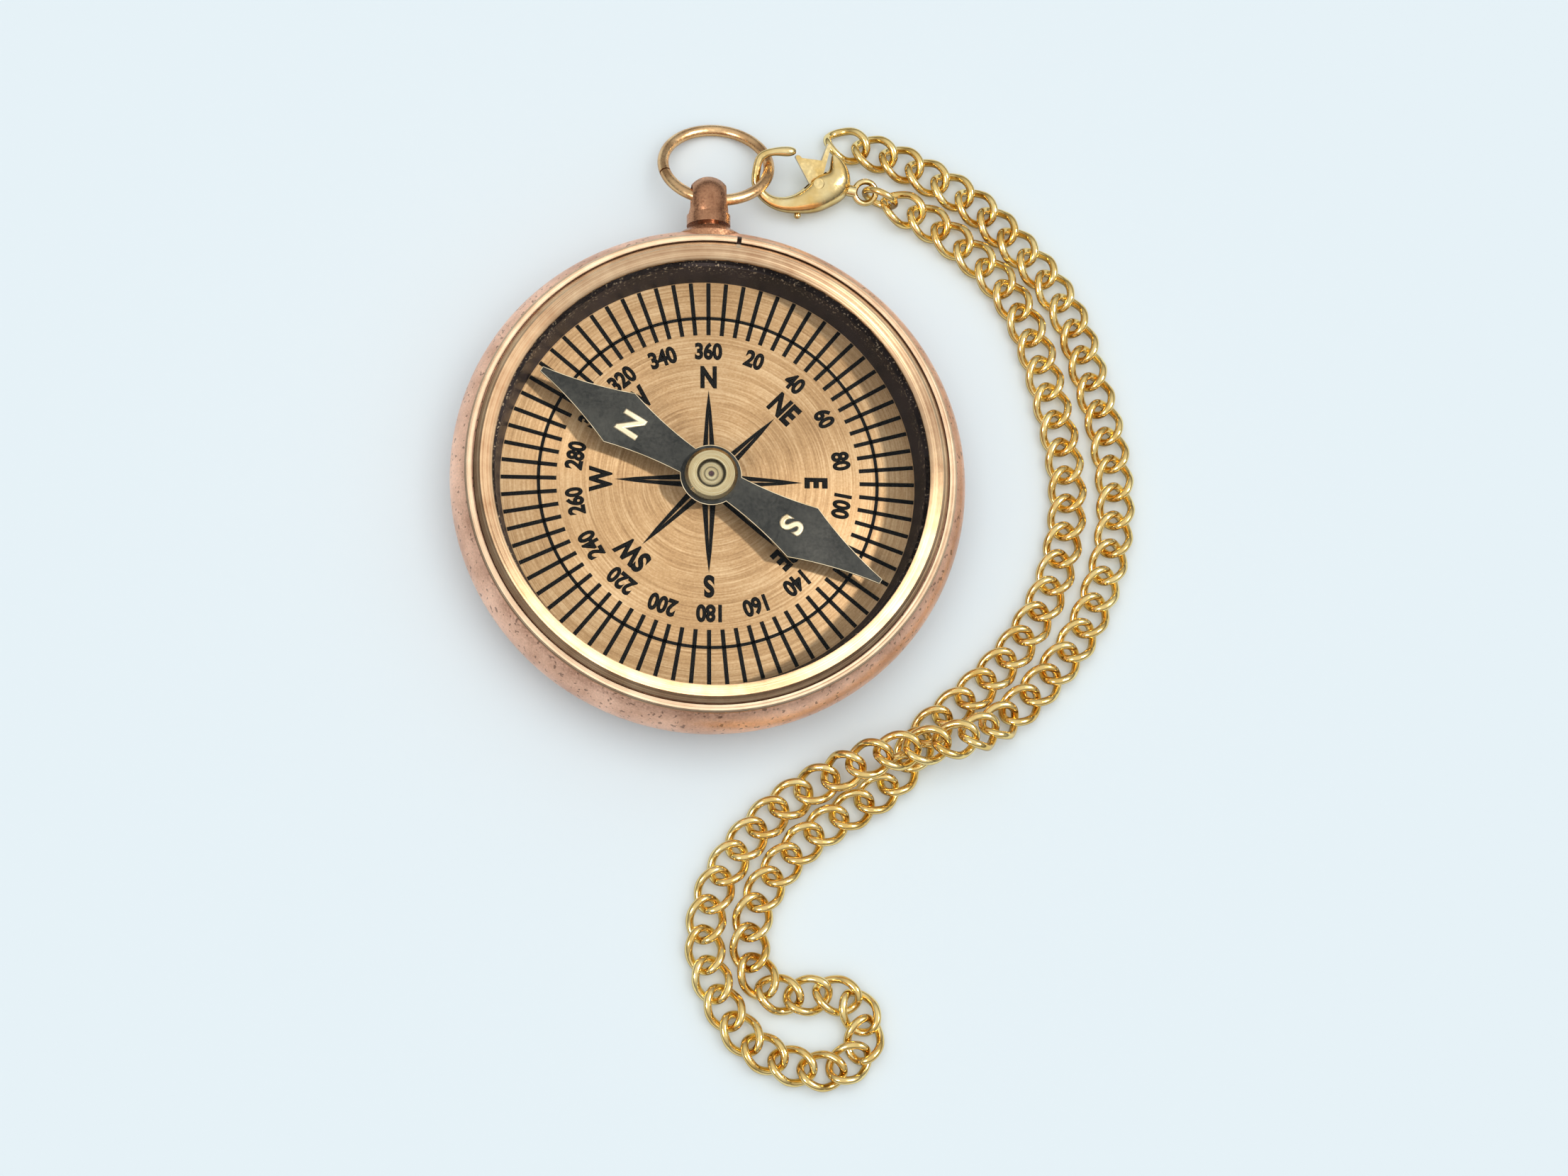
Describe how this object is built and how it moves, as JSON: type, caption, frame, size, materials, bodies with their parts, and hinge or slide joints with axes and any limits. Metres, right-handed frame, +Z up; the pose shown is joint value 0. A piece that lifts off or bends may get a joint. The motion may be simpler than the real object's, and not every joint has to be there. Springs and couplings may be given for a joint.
{
  "type": "pocket compass",
  "caption": "Open-face round pocket compass with a free needle, bow ring, sprung clasp and a curb chain laid beside it.",
  "frame": {"origin": "middle of the case's flat back, which lies on the table", "axes": "+Z up out of the dial, +Y from the case's middle to its pendant and bow, +X to the right of the dial"},
  "size_m": [0.0692, 0.0986, 0.0109],
  "materials": {
    "case_copper": "matte, fine specks",
    "rim_rose": "fine turned lines",
    "bezel_rose": "fine turned lines",
    "crystal": "clear, polished",
    "flange_black": "satin black with specks",
    "dial_brass": "circular brushing, printed in black",
    "inner_brass": "plain turned",
    "post_steel": "polished",
    "needle_black": "satin blackened",
    "cap_brass": "satin",
    "jewel_dark": "polished",
    "pendant_copper": "matte",
    "bow_rose": "satin",
    "clasp_gold": "polished",
    "spring_steel": "satin",
    "chain_gold": "polished"
  },
  "bodies": {
    "bow": {"bow_ring": "bow_rose"},
    "case": {"case_pan": "case_copper", "rim_ring": "rim_rose", "bezel_ring": "bezel_rose", "crystal": "crystal", "flange_ring": "flange_black", "dial_plate": "dial_brass", "dial_spacer": "inner_brass", "pivot_bush": "inner_brass", "pivot_pin": "post_steel", "pendant_saddle": "pendant_copper", "pendant_stud": "pendant_copper", "pendant_knob": "pendant_copper"},
    "needle": {"needle_blade": "needle_black", "needle_cap": "cap_brass", "needle_jewel": "jewel_dark"},
    "clasp": {"clasp_body": "clasp_gold", "clasp_rivet": "clasp_gold", "clasp_spring": "spring_steel"},
    "gate": {"clasp_gate": "clasp_gold"},
    "chain_b": {"jump_ring": "chain_gold", "chain_a_inner_1": "chain_gold", "chain_a_inner_2": "chain_gold", "chain_a_inner_3": "chain_gold", "chain_b_inner_1": "chain_gold", "chain_b_inner_2": "chain_gold", "chain_b_outer_1": "chain_gold", "chain_b_outer_2": "chain_gold", "chain_b_outer_3": "chain_gold", "chain_b_outer_4": "chain_gold", "chain_b_outer_5": "chain_gold", "chain_b_outer_6": "chain_gold"},
    "chain_c": {"chain_c_inner_1": "chain_gold", "chain_c_inner_2": "chain_gold", "chain_c_inner_3": "chain_gold", "chain_c_outer_1": "chain_gold", "chain_c_outer_2": "chain_gold", "chain_c_outer_3": "chain_gold"},
    "chain_d": {"chain_d_inner_1": "chain_gold", "chain_d_inner_2": "chain_gold", "chain_d_inner_3": "chain_gold", "chain_d_inner_4": "chain_gold", "chain_d_outer_1": "chain_gold", "chain_d_outer_2": "chain_gold", "chain_d_outer_3": "chain_gold", "chain_d_outer_4": "chain_gold"},
    "chain_e": {"chain_e_tail_1": "chain_gold", "chain_e_tail_2": "chain_gold", "chain_e_tail_3": "chain_gold", "chain_e_tail_4": "chain_gold", "chain_e_tail_5": "chain_gold", "chain_e_tail_6": "chain_gold", "chain_e_tail_7": "chain_gold"}
  },
  "joints": [
    {"name": "case_tilt", "type": "hinge", "parent": "bow", "child": "case", "pos_m": [0, 0.02925, 0.0058], "axis": [-1, 0, 0], "range_deg": [0, 90]},
    {"name": "needle_spin", "type": "hinge", "parent": "case", "child": "needle", "pos_m": [0, 0, 0.0077], "axis": [0, 0, 1], "continuous": true},
    {"name": "clasp_turn", "type": "hinge", "parent": "bow", "child": "clasp", "pos_m": [0.00639, 0.03356, 0.00341], "axis": [0, 0, 1], "range_deg": [-0.5, 8]},
    {"name": "gate_open", "type": "hinge", "parent": "clasp", "child": "gate", "pos_m": [0.0114, 0.03256, 0.00252], "axis": [0.084, -0.3907, 0.9167], "range_deg": [0, 24], "stiffness_Nm_per_rad": 0.000005, "springref_deg": -11.46},
    {"name": "chain_turn", "type": "hinge", "parent": "clasp", "child": "chain_b", "pos_m": [0.01648, 0.03196, 0.0018], "axis": [0, 0, 1], "range_deg": [-1, 8]},
    {"name": "chain_bend_1", "type": "hinge", "parent": "chain_b", "child": "chain_c", "pos_m": [0.03935, 0.00023, 0.00125], "axis": [0, 0, 1], "range_deg": [-4, 4]},
    {"name": "chain_bend_2", "type": "hinge", "parent": "chain_c", "child": "chain_d", "pos_m": [0.0304, -0.01952, 0.00125], "axis": [0, 0, 1], "range_deg": [-4, 4]},
    {"name": "chain_bend_3", "type": "hinge", "parent": "chain_d", "child": "chain_e", "pos_m": [0.00675, -0.03506, 0.00125], "axis": [0, 0, 1], "range_deg": [-4, 4]}
  ]
}
